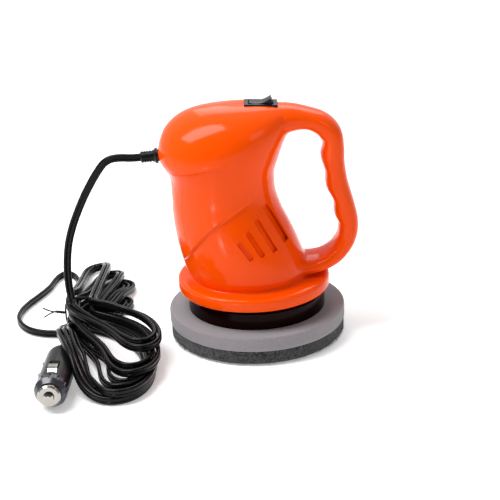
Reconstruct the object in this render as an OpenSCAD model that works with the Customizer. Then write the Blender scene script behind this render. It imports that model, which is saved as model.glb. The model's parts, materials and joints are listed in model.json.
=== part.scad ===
// Twelve-volt orbital car polisher with a closed D handle, its tied lead and its accessory plug.
// Frame: origin at the centre of the polishing face, +Z up, +X towards the handle, -Y is the front.

/* [Overall] */
// Height from the polishing face to the raised end of the switch
overall_h = 165; // [130:1:200]
// Diameter of the foam pad
pad_d = 120; // [100:1:150]
// Wall thickness of the two housing shells
wall = 2.4; // [1.8:0.1:3.2]
// Width of the housing just above the ring
body_w = 82; // [80:1:90]

/* [Pad] */
// Thickness of the dark polishing sponge
sponge_h = 10; // [6:0.5:15]
// Thickness of the grey foam
foam_h = 10; // [6:0.5:15]
// How much smaller the sponge's radius is than the foam's
sponge_inset = 1; // [0.5:0.5:4]
// Diameter of the black backing plate
plate_d = 93; // [70:1:96]
// Height of the backing plate
plate_h = 12; // [11:0.5:16]

/* [Ring] */
// Diameter of the ring at the foot of the housing
ring_d = 103; // [98:1:120]
// Height of the ring
ring_h = 8.8; // [8:0.2:12]
// Air gap between the backing plate and the ring
ring_gap = 2.2; // [1:0.1:4]

/* [Handle] */
// Half width of the grip, front to back
grip_half_w = 12; // [10:0.5:15]
// Depth of the finger waves on the inside of the grip
finger_wave = 0.9; // [0:0.1:1.5]

/* [Drive] */
// Offset of the pad's axis from the motor's axis
throw = 4; // [3:0.5:5]
// Diameter of the motor
motor_d = 35.8; // [29:0.1:37]
// Length of the motor's steel can
motor_can_l = 44; // [38:1:48]
// Length of the motor's plastic end cap
motor_cap_l = 6; // [5:0.5:9]
// Diameter of the motor shaft
shaft_d = 5; // [4:0.1:6]
// Outside diameter of the pad bearing
bearing_od = 22; // [20:0.5:27]
// Bore of the pad bearing
bearing_id = 8; // [7:0.5:9.6]
// Width of the pad bearing
bearing_w = 7; // [6:0.5:8]
// Number of balls in the bearing
ball_count = 7; // [6:1:8]

/* [Switch] */
// Length of the switch bezel
bezel_l = 21.8; // [20:0.2:26]
// Width of the switch bezel
bezel_w = 15; // [13:0.2:18]
// Height of the switch bezel
bezel_h = 2; // [1.5:0.1:3]

/* [Plug] */
// Diameter of the plug's barrel
plug_d = 20.8; // [17:0.1:25]
// Length of the plug's barrel behind the collar
barrel_l = 46; // [40:1:55]

/* [Cord] */
// Width of the flat two-core cord
cord_d = 5.4; // [4.5:0.1:6.5]

/* [Hidden] */
$fn = 48;

// Heights that everything stacks on
pad_top = sponge_h + foam_h;
ring_bottom = pad_top + plate_h + ring_gap;
ring_top = ring_bottom + ring_h;
ring_x = -1.5;
motor_x = -throw;
plate_top = ring_top - wall - 0.6;
motor_plate_t = 2;
plate_bottom = plate_top - motor_plate_t;

// The switch leans with the top of the head, and its rocker rests with the right end up
switch_tilt = 3;
switch_x = 7.5;
rocker_rest = 12;
rocker_half_l = bezel_l / 2 - 3.7;
rocker_crown = 3.25;
pivot_h = 1;
rocker_peak = rocker_half_l * sin(rocker_rest - switch_tilt) + rocker_crown * cos(rocker_rest - switch_tilt);
switch_z = overall_h - pivot_h * cos(switch_tilt) - rocker_peak;
head_top = switch_z + 1.4;
body_base = ring_top - 0.5;
body_h = head_top - body_base;

// ---------- shared shapes ----------

// Catmull-Rom blend of four rows
function blend4(a, b, c, d, t) =
    0.5 * ((2 * b) + (c - a) * t + (2 * a - 5 * b + 4 * c - d) * t * t + (3 * b - a - 3 * c + d) * t * t * t);

// The rows, with smooth rows put between them
function smooth_rows(rows, steps) = let (last = len(rows) - 1) [
    for (i = [0:last - 1], k = [0:steps - 1])
        blend4(rows[max(i - 1, 0)], rows[i], rows[i + 1], rows[min(i + 2, last)], k / steps),
    rows[last]
];

function unit(v) = v / norm(v);

// Direction of a route at one of its points
function heading(p, i) = unit(p[min(i + 1, len(p) - 1)] - p[max(i - 1, 0)]);

// Closed skin over a stack of rings with the same number of points
module loft(rings) {
    n = len(rings[0]);
    m = len(rings);
    sides = [
        for (i = [0:m - 2], j = [0:n - 1])
            let (a = i * n + j, b = i * n + (j + 1) % n)
                each [[a, a + n, b + n], [a, b + n, b]]
    ];
    foot = [for (j = [1:n - 2]) [0, j, j + 1]];
    lid = [for (j = [1:n - 2]) (m - 1) * n * [1, 1, 1] + [0, j + 1, j]];
    polyhedron([for (r = rings) each r], concat(sides, foot, lid));
}

// Tube of an even number of flat sides along a route
module swept_tube(points, d, sides) {
    function across(h) = unit(cross(h, abs(h.z) > 0.9 ? [0, 1, 0] : [0, 0, 1]));
    loft([
        for (i = [0:len(points) - 1])
            let (h = heading(points, i), u = across(h), v = cross(h, u))
                [for (k = [0:sides - 1])
                    points[i] + d / 2 * (cos(360 * k / sides) * u + sin(360 * k / sides) * v)]
    ]);
}

module tube(r_out, r_in, h) {
    difference() {
        cylinder(r = r_out, h = h);
        translate([0, 0, -1]) cylinder(r = r_in, h = h + 2);
    }
}

// Pan-head screw pointing along -Z, its head's underside at the origin
module pan_screw(r, length, head_r, head_h) {
    translate([0, 0, -length]) cylinder(r = r, h = length);
    difference() {
        cylinder(r = head_r, h = head_h);
        for (a = [0, 90])
            rotate(a) translate([-head_r * 0.6, -head_r * 0.12, head_h * 0.45])
                cube([head_r * 1.2, head_r * 0.24, head_h]);
    }
}

module at_motor() {
    translate([motor_x, 0, 0]) children();
}

// ---------- housing ----------

// Height share, left edge, right edge and half depth of the body, for a body of width 82
body_rows = [
    [0.00, -43.0, 35.0, 39.0], [0.06, -47.0, 35.0, 40.5], [0.16, -50.3, 31.3, 40.5],
    [0.28, -52.8, 25.5, 39.0], [0.40, -53.9, 19.0, 37.0], [0.50, -53.9, 15.5, 35.5],
    [0.585, -54.3, 15.0, 35.5], [0.64, -56.6, 16.0, 36.3], [0.70, -60.6, 18.5, 37.3],
    [0.75, -61.3, 20.5, 37.6], [0.82, -59.5, 24.0, 36.5], [0.89, -55.0, 27.0, 33.0],
    [0.95, -46.5, 27.0, 26.0], [0.985, -35.0, 22.0, 16.5], [1.00, -20.0, 12.0, 8.0]
];

// Centre, half thickness and half width of the handle, from the head round to the ring;
// the heights are shares of the body's height
handle_rows = [
    [12, 0.905, 10.0, 17], [26, 0.912, 8.8, 14.5], [37, 0.905, 6.9, 12.5], [46.5, 0.872, 7.2, 12],
    [52.5, 0.815, 7.5, 12], [54, 0.740, 7.6, 12], [54.2, 0.645, 7.6, 12], [56.5, 0.530, 7.2, 12],
    [60.5, 0.402, 7.2, 12], [63.3, 0.290, 7.0, 12], [61.5, 0.195, 6.6, 12.5], [54.5, 0.112, 6.2, 14],
    [44, 0.063, 5.6, 16], [32, 0.050, 5.6, 18], [22, 0.048, 5.6, 18]
];
grip_from = 4;   // rows of the handle between which the finger waves run
grip_to = 9;
wave_pitch = 20;

function body_ring(row, inset, sides) =
    let (k = body_w / 82,
         x0 = row[1] * k + inset, x1 = row[2] * k - inset,
         z = body_base + row[0] * (body_h - inset), depth = max(row[3] - inset, 1))
        [for (i = [0:sides - 1]) let (a = 360 * i / sides)
            [(x0 + x1) / 2 + (x1 - x0) / 2 * cos(a), depth * sin(a), z]];

module body_form(inset) {
    loft([for (row = smooth_rows(body_rows, inset > 0 ? 1 : 2)) body_ring(row, inset, inset > 0 ? 20 : 28)]);
}

// Place of a handle row in the side view
function handle_place(row) = [row[0], 0, body_base + row[1] * body_h];

module handle_form(inset) {
    sides = inset > 0 ? 8 : 12;
    steps = inset > 0 ? 1 : 3;
    rows = smooth_rows(handle_rows, steps);
    spine = [for (r = rows) handle_place(r)];
    function wave(i) = i / steps < grip_from || i / steps > grip_to ? 0
        : finger_wave * cos(360 * (spine[i].z - 125) / wave_pitch);
    loft([
        for (i = [0:len(rows) - 1])
            let (h = heading(spine, i), inward = cross([0, 1, 0], h), r = rows[i],
                 w = (r[3] - 12 + grip_half_w) - inset)
                [for (k = [0:sides - 1])
                    let (a = 360 * k / sides, c = cos(a), s = sin(a),
                         t = r[2] - inset + (c > 0 ? wave(i) : 0))
                        spine[i] + inward * t * sign(c) * pow(abs(c), 0.8)
                            + [0, w * sign(s) * pow(abs(s), 0.8), 0]]
    ]);
}

// Outside of the ring; its edge is rounded and its top is slightly dished
module ring_form() {
    r = ring_d / 2;
    edge = 2.6;
    translate([ring_x, 0, ring_bottom]) rotate_extrude($fn = 56)
        polygon(concat(
            [[0, 0], [r - 0.8, 0], [r, 0.8]],
            [for (a = [0:30:90]) [r - edge + edge * cos(a), ring_h - edge + edge * sin(a)]],
            [[r - 6, ring_h - 0.3], [0, ring_h - 0.3]]));
}

// Hollow under the ring, which the backing plate orbits below
module ring_hollow() {
    translate([ring_x, 0, ring_bottom - 1]) cylinder(r = ring_d / 2 - wall, h = plate_top - ring_bottom + 1, $fn = 56);
}

housing_screw_spots = [[-41, 0.17], [-43, 0.56], [4, 0.66], [50.6, 0.835], [62.5, 0.25]];
function spot(s) = [s[0], 0, body_base + s[1] * body_h];
boss_r = 3.6;

// One half of the housing, -1 for the front and 1 for the rear: the outside less its hollow,
// joined as one skin
module housing_half(side) {
    intersection() {
        difference() {
            union() {
                body_form(0);
                handle_form(0);
                ring_form();
            }
            difference() {
                union() {
                    body_form(wall);
                    handle_form(wall);
                }
                housing_posts(side);
            }
            ring_hollow();
            at_motor() translate([0, 0, ring_bottom]) cylinder(r = ring_hole_r, h = ring_h + 0.5, $fn = 56);
            housing_cuts(side);
        }
        translate([-100, side < 0 ? -100 : 0, 0]) cube([200, 100, 200]);
    }
}

// What stands inside the hollow, just short of the parting plane: screw posts, and two ribs
// that grip the motor can
post_gap = 0.3;
module housing_posts(side) {
    for (s = housing_screw_spots)
        translate(spot(s)) rotate([-90 * side, 0, 0]) translate([0, 0, post_gap]) cylinder(r = boss_r, h = 60, $fn = 16);
    if (side > 0) for (up = [-1, 1])
        at_relief() translate([up * clamp_screw_up, post_gap, clamp_s]) rotate([-90, 0, 0])
            cylinder(r = 2.6, h = 60, $fn = 12);
    difference() {
        for (z = [16, 38])
            translate([-70, side < 0 ? -60 - post_gap : post_gap, plate_top + z]) cube([110, 60, 2]);
        at_motor() cylinder(r = motor_d / 2 + 0.15, h = overall_h, $fn = 56);
    }
}
ring_hole_r = 34;

// Top and bottom of each vent slot in the front view
vent_slots = [[[7.5, 98], [21, 72]], [[1.5, 91], [13.5, 68.5]], [[-4.5, 84.5], [5.5, 67]], [[-10.5, 78.5], [-2, 66]]];
vent_w = 3.2;

// Slots that end just short of breaking through the wall
vent_depth = wall - 0.8;
module vents(side) {
    difference() {
        for (v = vent_slots) {
            run = v[1] - v[0];
            translate([v[0].x, side * 50, v[0].y]) rotate([0, atan2(run.x, run.y), 0])
                translate([-vent_w / 2, -36, 0]) cube([vent_w, 72, norm(run)]);
        }
        body_form(vent_depth);
    }
}

module at_switch() {
    translate([switch_x, 0, switch_z]) rotate([0, switch_tilt, 0]) children();
}

relief_x = -61.3 * body_w / 82;
relief_z = body_base + 0.722 * body_h;
relief_tilt = 4;
relief_neck_r = 4;
cord_hole_r = cord_d / 2 + 0.05;
clamp_s = -15;
clamp_screw_up = 6.5;
module at_relief() {
    translate([relief_x, 0, relief_z]) rotate([0, -90 - relief_tilt, 0]) children();
}

module housing_cuts(side) {
    vents(side);
    at_switch() {
        middle_box(bezel_l + 0.2, bezel_w + 0.2, 0, 12);
        middle_box(switch_l + 0.2, switch_w + 0.2, -20, 1);
    }
    at_relief() {
        translate([0, 0, -8]) cylinder(r = relief_neck_r + 0.06, h = 12, $fn = 32);
        cylinder(r = relief_flare_r + 0.1, h = 12, $fn = 32);
    }
    for (a = plate_screw_angles) at_plate_screw(a)
        translate([0, 0, -1]) cylinder(r = 1.1, h = plate_screw_l - motor_plate_t + 1.1, $fn = 16);
    for (s = housing_screw_spots) translate(spot(s)) rotate([-90 * side, 0, 0]) {
        translate([0, 0, post_gap / 2]) cylinder(r = side < 0 ? 1.4 : 1.7, h = 7.5, $fn = 16);
        if (side > 0) translate([0, 0, screw_seat_y]) cylinder(r = 3, h = 60, $fn = 20);
    }
    if (side > 0) for (up = [-1, 1])
        at_relief() translate([up * clamp_screw_up, post_gap / 2, clamp_s]) rotate([-90, 0, 0])
            cylinder(r = 1.1, h = 5.2, $fn = 16);
}

module middle_box(l, w, z0, z1) {
    translate([-l / 2, -w / 2, z0]) cube([l, w, z1 - z0]);
}
switch_l = bezel_l - 2.8;
switch_w = bezel_w - 2;
relief_flare_r = 5.3;
screw_seat_y = 6;

module housing_front() {
    color("orangered") housing_half(-1);
}

module housing_rear() {
    color("orangered") housing_half(1);
}

module housing_screws() {
    color("dimgray") for (s = housing_screw_spots)
        translate(spot(s)) translate([0, screw_seat_y, 0]) rotate([-90, 0, 0]) pan_screw(1.4, 13, 2.7, 2);
}

// ---------- switch ----------

module switch_body() {
    window_l = 2 * rocker_reach + 0.8;
    window_w = rocker_w + 0.8;
    color([0.08, 0.08, 0.09]) at_switch() difference() {
        union() {
            translate([-bezel_l / 2, -bezel_w / 2, 0]) cube([bezel_l, bezel_w, bezel_h]);
            translate([-switch_l / 2, -switch_w / 2, -switch_depth]) cube([switch_l, switch_w, switch_depth + 0.5]);
        }
        translate([-window_l / 2, -window_w / 2, -7.5]) cube([window_l, window_w, 20]);
        translate([0, 0, pivot_h]) rotate([90, 0, 0])
            cylinder(r = rocker_pin_r + 0.06, h = rocker_w + 2.2, center = true);
    }
}
switch_depth = 14;
rocker_w = 10.2;
rocker_pin_r = 1;
rocker_reach = norm([rocker_half_l, rocker_crown]);

// A round-ended rocker with a shallow V on top, its pin through the bezel's side walls
module switch_rocker() {
    from = atan2(rocker_crown, rocker_half_l);
    to = asin(3.5 / rocker_reach);
    function arc_end(a0, a1) = [for (k = [0:4]) let (a = a0 + (a1 - a0) * k / 4) rocker_reach * [cos(a), sin(a)]];
    color([0.06, 0.06, 0.07]) at_switch() translate([0, 0, pivot_h]) rotate([0, -rocker_rest, 0])
        rotate([90, 0, 0]) union() {
            linear_extrude(rocker_w, center = true)
                polygon(concat([[0, 1.5]], arc_end(180 - from, 180 + to), arc_end(-to, from)));
            cylinder(r = rocker_pin_r, h = rocker_w + 2, center = true);
        }
}

terminal_spots = [-5, 3];

module switch_terminals() {
    color("goldenrod") at_switch() for (x = terminal_spots)
        translate([x - 2.4, -0.4, -switch_depth - 7]) cube([4.8, 0.8, 7]);
}

// ---------- lead ----------

module strain_relief() {
    rib_pitch = 1.8;
    ribs = [for (i = [0:4], e = [[0, 3.4], [0.3, 3.9], [1.2, 3.9], [1.5, 3.4]]) [e[1], 2.6 + i * rib_pitch + e[0]]];
    color([0.07, 0.07, 0.08]) at_relief() rotate_extrude() difference() {
        polygon(concat(
            [[0, -5], [5, -5], [5, -3.5], [relief_neck_r, -3.5], [relief_neck_r, 0.3], [relief_flare_r, 0.3],
             [relief_flare_r, 1.4], [4.2, 2.6]],
            ribs, [[3, relief_l], [0, relief_l]]));
        translate([0, -6]) square([cord_hole_r, 30]);
    }
}
relief_l = 11.8;

// Saddle that holds the cord's end down onto the rear shell
module cord_clamp() {
    color([0.1, 0.1, 0.1]) at_relief() translate([0, 0, clamp_s]) difference() {
        translate([-9.5, -4.9, -3]) cube([19, 4.9, 6]);
        translate([0, 0, -4]) cylinder(r = cord_hole_r, h = 8);
        for (up = [-1, 1]) translate([up * clamp_screw_up, -5, 0]) rotate([-90, 0, 0]) cylinder(r = 1.3, h = 6);
    }
}

module clamp_screws() {
    color("silver") at_relief() for (up = [-1, 1])
        translate([up * clamp_screw_up, -4.9, clamp_s]) rotate([90, 0, 0]) pan_screw(1.1, 10, 2.3, 1.5);
}

// From the clamp out through the strain relief and down to the tie
lead_route = [
    [-44, 0, 129.3], [-54, 0, 128.6], [-63, 0, 127.9], [-72.5, 0, 127.3], [-79, 0, 127], [-86, 0, 127.4],
    [-92.5, 0, 126.8], [-98, 0.5, 123.5], [-103, 1, 117], [-108, 1.5, 109], [-113, 2, 100], [-118, 3, 89.5],
    [-122.5, 4, 78.5], [-126, 5, 67], [-128, 6, 55.5], [-129, 7, 44], [-129, 8, 34], [-128, 9, 26], [-127, 10, 20]
];
// From the hank, round one loose loop on the ground and back to the plug
tail_route = [
    [-129, 78, 9], [-132, 88, 5.5], [-135, 98, 3.2], [-139, 107, 2.8], [-144.5, 110, 2.8], [-149, 105, 2.8],
    [-151, 95, 2.8], [-152.5, 84, 2.8], [-156, 73, 2.8], [-161, 61, 2.8], [-166, 49, 2.8], [-169, 37, 2.8],
    [-169, 25, 2.8], [-165, 14, 2.8], [-158, 5, 2.8], [-148, -0.5, 2.8], [-138, -2.5, 2.8], [-130, -7.5, 3.2],
    [-126.6, -16, 5.5], [-125.9, -26, 9.5], [-126.4, -36.6, 11.5]
];

module cord_lead() {
    color([0.05, 0.05, 0.06]) swept_tube(lead_route, cord_d, 8);
}

module cord_tail() {
    color([0.05, 0.05, 0.06]) swept_tube(tail_route, cord_d, 8);
}

// The wound length: two lobes of turns that the tie gathers at the waist
waist = [-122, 10];
waist_r = 11;
hank_h = 24;
tie_w = 3.6;
tie_t = 0.9;

module cord_hank() {
    color([0.05, 0.05, 0.06]) difference() {
        linear_extrude(hank_h) {
            hull() {
                translate(waist) circle(r = waist_r, $fn = 32);
                translate([-95, -83]) circle(r = 28, $fn = 32);
                translate([-90, -46]) circle(r = 23, $fn = 32);
            }
            hull() {
                translate(waist) circle(r = waist_r, $fn = 32);
                translate([-112, 101]) circle(r = 20, $fn = 32);
            }
        }
        at_plug() translate([0, 0, -20.2]) cylinder(r = plug_d / 2 + 0.5, h = barrel_l + 22);
        difference() {
            translate([waist.x - 20, waist.y - tie_w / 2 - 0.1, -1]) cube([40, tie_w + 0.2, hank_h + 2]);
            translate([waist.x - waist_r + tie_t, waist.y - 10, tie_t + 0.2])
                cube([2 * (waist_r - tie_t), 20, hank_h - 2 * tie_t - 0.2]);
        }
    }
}

module twist_tie() {
    mid = [waist.x - waist_r, waist.y, 13];
    color([0.04, 0.04, 0.05]) {
        difference() {
            translate([waist.x - waist_r, waist.y - tie_w / 2, 0.2]) cube([2 * waist_r, tie_w, hank_h - 0.2]);
            translate([waist.x - waist_r + tie_t, waist.y - 5, tie_t + 0.2])
                cube([2 * (waist_r - tie_t), 10, hank_h - 2 * tie_t - 0.2]);
        }
        swept_tube([mid + [0.5, 0, 0], mid + [-3, 0, 0.5], mid + [-6.5, 0, 1]], 2.4, 8);
        swept_tube([mid + [-6, 0, 1.3], mid + [-11, 0, 2.6], mid + [-16.5, 0, 4.6]], 1.1, 8);
        swept_tube([mid + [-6, 0, 0.7], mid + [-11, 0, -0.4], mid + [-16, 0, -3]], 1.1, 8);
    }
}

wire_d = 2;
cord_end = lead_route[0];
module supply_wire() {
    to = [switch_x + terminal_spots[0] - 1, 0, switch_z - switch_depth - 7.3];
    color("firebrick") swept_tube([cord_end + [0.1, 0, 1.35], cord_end + [8, -3, 4], cord_end + [20, -6, 7],
        cord_end + [32, -5, 5], to + [-4, -2, -5.5], to + [-0.8, 0, -3], to], wire_d, 6);
}

module switch_wire() {
    from = [switch_x + terminal_spots[1] - 1, 0, switch_z - switch_depth - 7.8];
    to = [motor_x + terminal_r, 0, terminal_top + 0.3];
    color("firebrick") swept_tube([from, from + [1.3, 0, -7], from + [1.6, 0, -17], to + [1.5, 0, 10], to], wire_d, 6);
}

module return_wire() {
    to = [motor_x - terminal_r, 0, terminal_top + 0.3];
    color([0.1, 0.1, 0.1]) swept_tube([cord_end + [0.1, 0, -1.35], cord_end + [7, 3, -6], cord_end + [16, 6, -14],
        to + [-4, 4, 9], to], wire_d, 6);
}

// ---------- motor ----------

can_top = plate_top + motor_can_l;
cap_top = can_top + motor_cap_l;
motor_r = motor_d / 2;
shaft_r = shaft_d / 2;
bush_r = shaft_r + 2;
bush_gap = 0.04;
boss_nose_r = bush_r + 2;
screw_circle = boss_nose_r + 6;
plate_screw_angles = [45, 135, 225, 315];
plate_screw_circle = ring_hole_r + 3;
plate_screw_l = 4.2;
terminal_r = motor_r - 6;
terminal_top = cap_top + 7;
magnet_in = motor_r - 4.5;
core_r = magnet_in - 0.6;
core_z = plate_top + 10;
core_l = motor_can_l - 18;
commutator_r = shaft_r + 2.1;
slot_size = 0.39 * core_r;

module at_plate_screw(a) {
    at_motor() rotate(a) translate([plate_screw_circle, 0, plate_top]) children();
}

module motor_plate() {
    color("silver") at_motor() difference() {
        translate([0, 0, plate_bottom]) cylinder(r = plate_screw_circle + 4, h = motor_plate_t);
        translate([0, 0, plate_bottom - 1]) cylinder(r = boss_nose_r + 0.1, h = 9);
        for (a = plate_screw_angles)
            rotate(a) translate([plate_screw_circle, 0, plate_bottom - 1]) cylinder(r = 1.3, h = 9);
        for (a = [90, 270])
            rotate(a) translate([screw_circle, 0, plate_bottom - 1]) cylinder(r = 1.6, h = 9);
    }
}

module plate_screws() {
    color("dimgray") for (a = plate_screw_angles)
        at_plate_screw(a) translate([0, 0, -motor_plate_t]) rotate([180, 0, 0]) pan_screw(1.1, plate_screw_l, 2.2, 1.5);
}

module motor_screws() {
    color("dimgray") at_motor() for (a = [90, 270])
        rotate(a) translate([screw_circle, 0, plate_bottom]) rotate([180, 0, 0])
            pan_screw(1.45, motor_plate_t + 3, 2.6, 1.5);
}

module motor_can() {
    color("silver") at_motor() difference() {
        union() {
            translate([0, 0, plate_top]) cylinder(r = motor_r, h = motor_can_l);
            translate([0, 0, plate_bottom]) cylinder(r = boss_nose_r, h = motor_plate_t + 1);
        }
        translate([0, 0, plate_top + 1.5]) cylinder(r = motor_r - 1.3, h = motor_can_l);
        translate([0, 0, plate_bottom - 1]) cylinder(r = bush_r, h = 9);
        for (a = [90, 270])
            rotate(a) translate([screw_circle, 0, plate_bottom]) cylinder(r = 1.45, h = 9);
    }
}

module motor_end_cap() {
    color("ivory") at_motor() difference() {
        union() {
            translate([0, 0, can_top]) cylinder(r = motor_r, h = motor_cap_l);
            translate([0, 0, cap_top - 1]) cylinder(r = bush_r + 2, h = 3);
        }
        translate([0, 0, can_top - 1]) cylinder(r = motor_r - 2.4, h = motor_cap_l - 1);
        translate([0, 0, can_top]) cylinder(r = bush_r, h = motor_cap_l + 1.4);
        for (x = [-1, 1])
            translate([x * terminal_r - 1.6, -0.4, can_top]) cube([3.2, 0.8, 20]);
    }
}

module motor_magnets() {
    color([0.25, 0.25, 0.27]) at_motor() for (a = [0, 180])
        rotate(a - 60) rotate_extrude(angle = 120)
            translate([magnet_in, plate_top + 6]) square([motor_r - 1.3 - magnet_in, motor_can_l - 12]);
}

module front_bush() {
    color("peru") at_motor() translate([0, 0, plate_bottom]) tube(bush_r, shaft_r + bush_gap, 4.5);
}

module rear_bush() {
    color("peru") at_motor() translate([0, 0, cap_top - 2]) tube(bush_r, shaft_r + bush_gap, 3.3);
}

slot_count = 5;
module armature_core() {
    color("slategray") at_motor() translate([0, 0, core_z]) difference() {
        cylinder(r = core_r, h = core_l);
        translate([0, 0, -1]) cylinder(r = shaft_r, h = core_l + 2);
        for (k = [0:slot_count - 1]) rotate(360 * k / slot_count) {
            translate([core_r - 1.5 - slot_size, -slot_size * 0.48, -1]) cube([slot_size, slot_size * 0.96, core_l + 2]);
            translate([core_r - 3, -0.8, -1]) cube([5, 1.6, core_l + 2]);
        }
    }
}

// Wire bundles in the slots, and the turns that cross between them at both ends
module armature_windings() {
    color("chocolate") at_motor() {
        for (k = [0:slot_count - 1]) rotate(360 * k / slot_count)
            translate([core_r - 1.3 - slot_size, 0.2 - slot_size * 0.48, core_z - 2])
                cube([slot_size - 0.4, slot_size * 0.96 - 0.4, core_l + 4]);
        for (z = [core_z - 3.5, core_z + core_l])
            translate([0, 0, z]) tube(core_r - 1.4, shaft_r + 1.2, 3.5);
    }
}

module commutator() {
    color("darkgoldenrod") at_motor() translate([0, 0, core_z + core_l + 3.6]) difference() {
        tube(commutator_r, shaft_r, cap_top - core_z - core_l - 6.2);
        for (k = [0:slot_count - 1]) rotate(360 * (k + 0.5) / slot_count)
            translate([commutator_r - 0.5, -0.2, -1]) cube([2, 0.4, 20]);
    }
}

brush_z = can_top - 1;
module motor_brushes() {
    color([0.15, 0.15, 0.15]) at_motor() for (a = [0, 180])
        rotate(a) translate([commutator_r + 0.35, -2, brush_z]) cube([4.2, 4, 3.2]);
}

// Spring strips that press the brushes in, seated on the end cap's wall
module brush_arms() {
    from = commutator_r + 4.55;
    color("goldenrod") at_motor() for (a = [0, 180])
        rotate(a) translate([from, -1.5, brush_z + 0.6]) cube([motor_r - 2.45 - from, 3, 0.5]);
}

module motor_terminals() {
    color("goldenrod") at_motor() for (x = [-1, 1])
        translate([x * terminal_r - 1.6, -0.4, cap_top - 2]) cube([3.2, 0.8, terminal_top - cap_top + 2]);
}

// ---------- drive to the pad ----------

weight_bottom = pad_top + plate_h + 0.6;
weight_top = plate_bottom - 2.2;
collar_top = plate_bottom - 0.6;
shaft_end = weight_bottom + 0.6;
bearing_bottom = pad_top + plate_h - 0.6 - bearing_w;
bearing_r = bearing_od / 2;
bore_r = bearing_id / 2;
ball_circle = (bearing_r + bore_r) / 2 + 0.1;
ball_r = (bearing_r - bore_r) * 0.275;
groove_r = ball_r + 0.08;
ring_wall = (bearing_r - bore_r) * 0.3;
cage_half_h = ball_r + 0.4;
pad_screw_r = 1.9;

module motor_shaft() {
    color("gainsboro") at_motor() translate([0, 0, shaft_end]) cylinder(r = shaft_r, h = cap_top + 0.9 - shaft_end);
}

// Clamped on the shaft; its pin carries the pad's bearing off centre and the half disc balances the pad
module eccentric_weight() {
    disc_r = 22;
    color("darkgray") difference() {
        union() {
            at_motor() translate([0, 0, weight_bottom]) cylinder(r = 9.5, h = weight_top - weight_bottom);
            at_motor() translate([0, 0, weight_bottom]) cylinder(r = shaft_r + 3, h = collar_top - weight_bottom);
            intersection() {
                at_motor() translate([0, 0, weight_bottom]) cylinder(r = disc_r, h = weight_top - weight_bottom);
                translate([motor_x - 2 * disc_r, -disc_r, 0]) cube([2 * disc_r, 2 * disc_r, 100]);
            }
            translate([0, 0, bearing_bottom + bearing_w]) cylinder(r = bore_r + 1.4, h = weight_bottom - bearing_bottom - bearing_w + 0.5);
            translate([0, 0, bearing_bottom + 0.2]) cylinder(r = bore_r, h = bearing_w + 1);
        }
        at_motor() translate([0, 0, shaft_end]) cylinder(r = shaft_r, h = 20);
        translate([0, 0, bearing_bottom - 1]) cylinder(r = pad_screw_r, h = 8);
        at_motor() translate([0, 0, weight_bottom + 1.6]) rotate([-90, 0, 0]) cylinder(r = 1.1, h = 20);
    }
}

module weight_set_screw() {
    color("dimgray") at_motor() translate([0, shaft_r, weight_bottom + 1.6]) rotate([-90, 0, 0]) difference() {
        cylinder(r = 1.1, h = 5);
        translate([0, 0, 3.8]) cylinder(r = 0.55, h = 3, $fn = 6);
    }
}

module groove() {
    rotate_extrude() translate([ball_circle, bearing_w / 2]) circle(r = groove_r);
}

module bearing_inner_ring() {
    color("lightgray") translate([0, 0, bearing_bottom]) difference() {
        tube(bore_r + ring_wall, bore_r, bearing_w);
        groove();
    }
}

module bearing_outer_ring() {
    color("lightgray") translate([0, 0, bearing_bottom]) difference() {
        tube(bearing_r, bearing_r - ring_wall, bearing_w);
        groove();
    }
}

module ball_places() {
    for (k = [0:ball_count - 1])
        rotate(360 * k / ball_count) translate([ball_circle, 0, bearing_bottom + bearing_w / 2]) children();
}

module bearing_balls() {
    color("white") ball_places() sphere(r = ball_r);
}

module bearing_cage() {
    half_t = 0.7;
    color("khaki") difference() {
        translate([0, 0, bearing_bottom + bearing_w / 2 - cage_half_h])
            tube(ball_circle + half_t, ball_circle - half_t, 2 * cage_half_h);
        ball_places() sphere(r = ball_r + 0.06);
    }
}

module pad_washer() {
    color("silver") translate([0, 0, bearing_bottom - 0.8]) tube(bore_r + 1.5, pad_screw_r + 0.1, 0.8);
}

module pad_screw() {
    color("silver") translate([0, 0, bearing_bottom - 0.8]) rotate([180, 0, 0]) pan_screw(pad_screw_r, 7.6, 3.4, 2.2);
}

// ---------- pad ----------

module backing_plate() {
    r = plate_d / 2;
    hub_r = bearing_r + 3.2;
    color([0.07, 0.06, 0.06]) difference() {
        translate([0, 0, pad_top]) union() {
            difference() {
                rotate_extrude($fn = 96) polygon([[0, 0], [r, 0], [r, plate_h - 1.2], [r - 1.2, plate_h], [0, plate_h]]);
                translate([0, 0, -1]) cylinder(r = r - 2.5, h = plate_h - 1.5);
            }
            cylinder(r = hub_r, h = plate_h - 1);
            for (k = [0:7]) rotate(45 * k) translate([hub_r - 1, -0.9, 0]) cube([r - hub_r - 0.5, 1.8, plate_h - 1]);
        }
        translate([0, 0, bearing_bottom]) cylinder(r = bearing_r, h = 30);
        translate([0, 0, pad_top - 1]) cylinder(r = bearing_r - 1.8, h = 30);
    }
}

module foam_pad() {
    r = pad_d / 2;
    color([0.6, 0.58, 0.6]) translate([0, 0, sponge_h]) difference() {
        rotate_extrude($fn = 96)
            polygon([[0, 0], [r - 0.5, 0], [r, 0.5], [r, foam_h - 0.5], [r - 0.5, foam_h], [0, foam_h]]);
        translate([0, 0, -1]) cylinder(r = bearing_r - 1.8, h = foam_h + 2);
    }
}

module sponge_face() {
    r = pad_d / 2 - sponge_inset;
    color([0.2, 0.2, 0.22]) rotate_extrude($fn = 96)
        polygon([[0, 0], [r - 1, 0], [r, 1], [r, sponge_h], [0, sponge_h]]);
}

// ---------- accessory plug, drawn along +Z from the rear of its barrel ----------

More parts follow.
